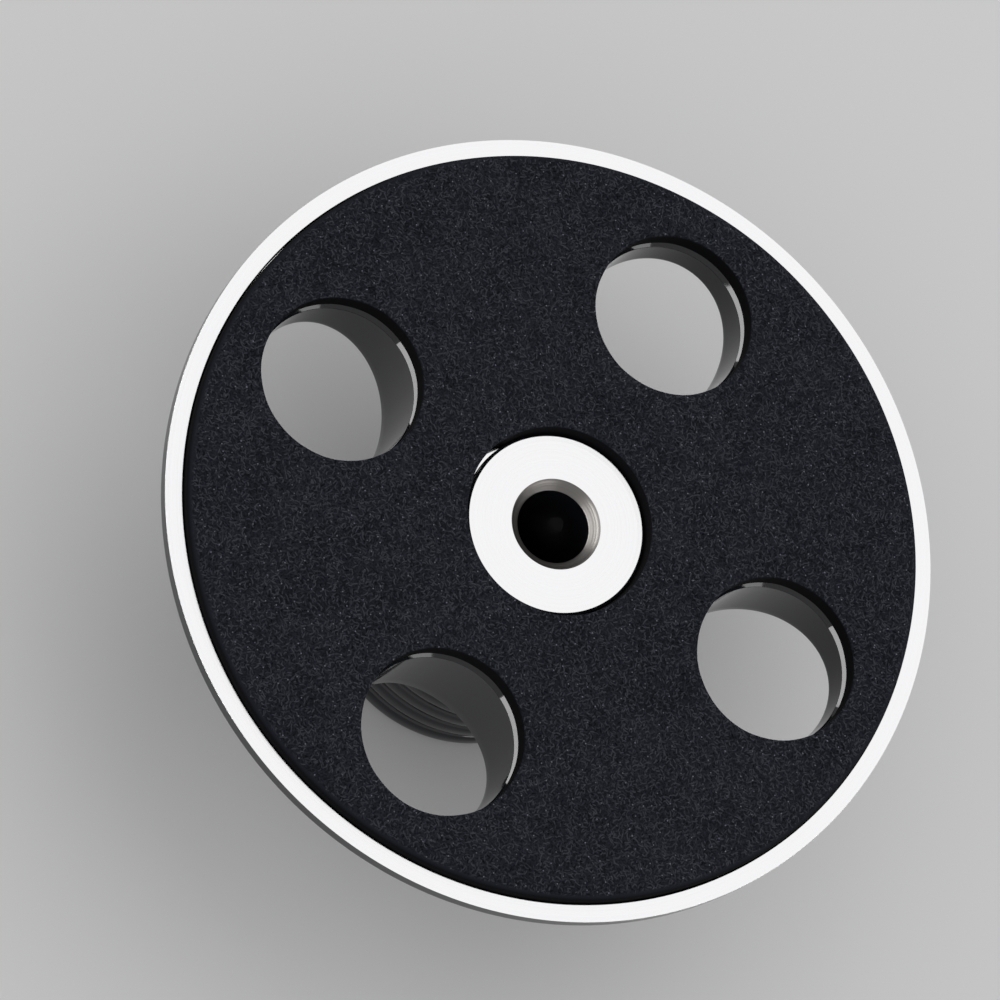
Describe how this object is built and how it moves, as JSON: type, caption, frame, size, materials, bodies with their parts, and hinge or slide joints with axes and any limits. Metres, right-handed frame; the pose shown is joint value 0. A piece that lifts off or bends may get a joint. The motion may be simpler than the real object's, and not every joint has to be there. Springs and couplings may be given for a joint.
{
  "type": "record weight",
  "caption": "Turned disc with a domed back, a ribbed knob, through holes, a spindle bore and a foam pad; its weight steadies a record on a turntable.",
  "frame": {"origin": "centre of the knob's flat end, on which the part stands with its padded underside up", "axes": "+Z along the turning axis, out of the padded underside; the through holes lie halfway between the X and Y axes. In use the part is turned over, pad down on the record"},
  "size_m": [0.08, 0.08, 0.0317],
  "materials": {
    "black_aluminium": "glossy black over turned metal",
    "bare_aluminium": "freshly cut, bright",
    "black_foam": "matt sheet foam with a fine wrinkled skin"
  },
  "bodies": {
    "root": {"weight_body": "black_aluminium", "foam_pad": "black_foam"}
  },
  "joints": []
}
